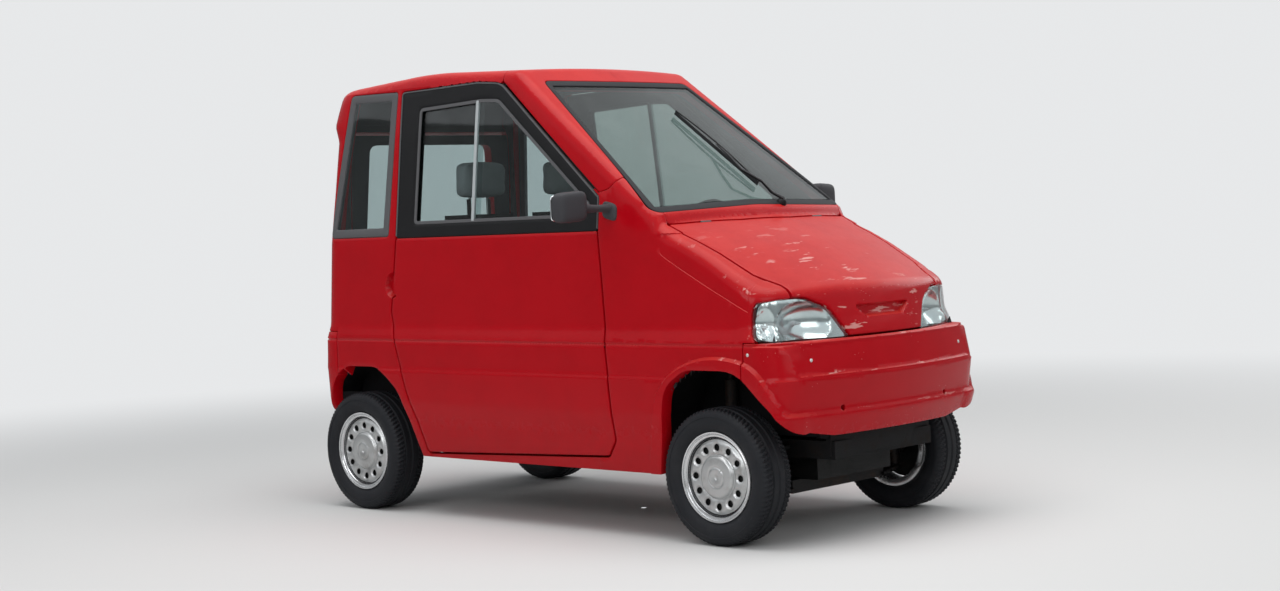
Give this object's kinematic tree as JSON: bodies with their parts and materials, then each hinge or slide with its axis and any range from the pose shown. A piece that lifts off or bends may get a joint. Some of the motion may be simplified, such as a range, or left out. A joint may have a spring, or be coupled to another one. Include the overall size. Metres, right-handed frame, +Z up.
{
  "type": "microcar",
  "caption": "Narrow two-seat microcar with sloping screen, short crowned bonnet, hinged doors, tailgate, steered front wheels and small pierced wheel covers.",
  "frame": {"origin": "centre of the footprint on the ground", "axes": "+X forward, +Y to the left, +Z up"},
  "size_m": [2.4594, 1.4794, 1.6766],
  "materials": {
    "paint": "gloss red paint",
    "dark_trim": "satin black",
    "glass": "clear",
    "rubber": "matt grey rubber",
    "lamp_glass": "clear lens",
    "lamp_bowl": "bright reflector",
    "lamp_red": "red lens",
    "frame_steel": "black coated steel",
    "floor": "dark grey",
    "cast": "cast grey",
    "steel": "bare steel",
    "tyre": "tyre rubber",
    "wheel": "silver paint",
    "dash": "grained dark plastic",
    "seat_cloth": "grey woven cloth"
  },
  "bodies": {
    "body": {"roof_panel": "paint", "screen_frame": "paint", "cowl_panel": "paint", "front_wing_right": "paint", "front_wing_left": "paint", "front_bumper": "paint", "quarter_panel_right": "paint", "quarter_panel_left": "paint", "rear_bumper": "paint", "fixed_glass": "glass", "window_seals": "rubber", "headlamp_lenses": "lamp_glass", "headlamp_bowls": "lamp_bowl", "tail_lamps": "lamp_red", "side_sills": "paint", "chassis_frame": "frame_steel", "floor_tub": "floor", "wheel_housings": "floor", "engine_block": "cast", "drive_shafts": "steel", "front_suspension": "frame_steel", "rear_axle": "frame_steel", "mirrors": "dark_trim", "dashboard": "dash", "seat_bases": "dark_trim", "seat_cushions": "seat_cloth", "seat_backs": "seat_cloth", "wiper": "dark_trim"},
    "bonnet_lid": {"bonnet": "paint"},
    "tailgate_lid": {"tailgate": "paint", "tailgate_glass": "glass"},
    "right_door": {"door_right": "paint", "window_frame_right": "dark_trim", "door_glass_right": "glass"},
    "left_door": {"door_left": "paint", "window_frame_left": "dark_trim", "door_glass_left": "glass"},
    "right_knuckle": {"knuckle_right": "cast"},
    "left_knuckle": {"knuckle_left": "cast"},
    "hand_wheel": {"steering_wheel": "dash"},
    "wheel_front_right": {"tyre_front_right": "tyre", "rim_front_right": "wheel"},
    "wheel_front_left": {"tyre_front_left": "tyre", "rim_front_left": "wheel"},
    "wheel_rear_right": {"tyre_rear_right": "tyre", "rim_rear_right": "wheel"},
    "wheel_rear_left": {"tyre_rear_left": "tyre", "rim_rear_left": "wheel"}
  },
  "joints": [
    {"name": "right_door_hinge", "type": "hinge", "parent": "body", "child": "right_door", "pos_m": [0.36, -0.539, 0.55], "axis": [0, 0, 1], "range_deg": [0, 65]},
    {"name": "left_door_hinge", "type": "hinge", "parent": "body", "child": "left_door", "pos_m": [0.36, 0.539, 0.55], "axis": [0, 0, -1], "range_deg": [0, 65]},
    {"name": "tailgate_hinge", "type": "hinge", "parent": "body", "child": "tailgate_lid", "pos_m": [-1.1705, 0, 1.45], "axis": [0, 1, 0], "range_deg": [0, 80]},
    {"name": "bonnet_hinge", "type": "hinge", "parent": "body", "child": "bonnet_lid", "pos_m": [0.648, 0, 1.067], "axis": [0, -1, 0], "range_deg": [0, 55]},
    {"name": "steer_right", "type": "hinge", "parent": "body", "child": "right_knuckle", "pos_m": [0.854, -0.43, 0.2285], "axis": [0, 0, 1], "range_deg": [-28, 28]},
    {"name": "steer_left", "type": "hinge", "parent": "body", "child": "left_knuckle", "pos_m": [0.854, 0.43, 0.2285], "axis": [0, 0, 1], "range_deg": [-28, 28]},
    {"name": "hand_wheel_turn", "type": "hinge", "parent": "body", "child": "hand_wheel", "pos_m": [0.134, 0.225, 0.985], "axis": [-0.8829, 0, 0.4695], "range_deg": [-392, 392]},
    {"name": "spin_front_right", "type": "hinge", "parent": "right_knuckle", "child": "wheel_front_right", "pos_m": [0.854, -0.475, 0.2285], "axis": [0, 1, 0], "continuous": true},
    {"name": "spin_front_left", "type": "hinge", "parent": "left_knuckle", "child": "wheel_front_left", "pos_m": [0.854, 0.475, 0.2285], "axis": [0, 1, 0], "continuous": true},
    {"name": "spin_rear_right", "type": "hinge", "parent": "body", "child": "wheel_rear_right", "pos_m": [-0.996, -0.475, 0.2285], "axis": [0, 1, 0], "continuous": true},
    {"name": "spin_rear_left", "type": "hinge", "parent": "body", "child": "wheel_rear_left", "pos_m": [-0.996, 0.475, 0.2285], "axis": [0, 1, 0], "continuous": true}
  ],
  "couplings": [
    {"joint": "steer_left", "follows": "steer_right", "ratio": 1},
    {"joint": "hand_wheel_turn", "follows": "steer_right", "ratio": 14}
  ]
}
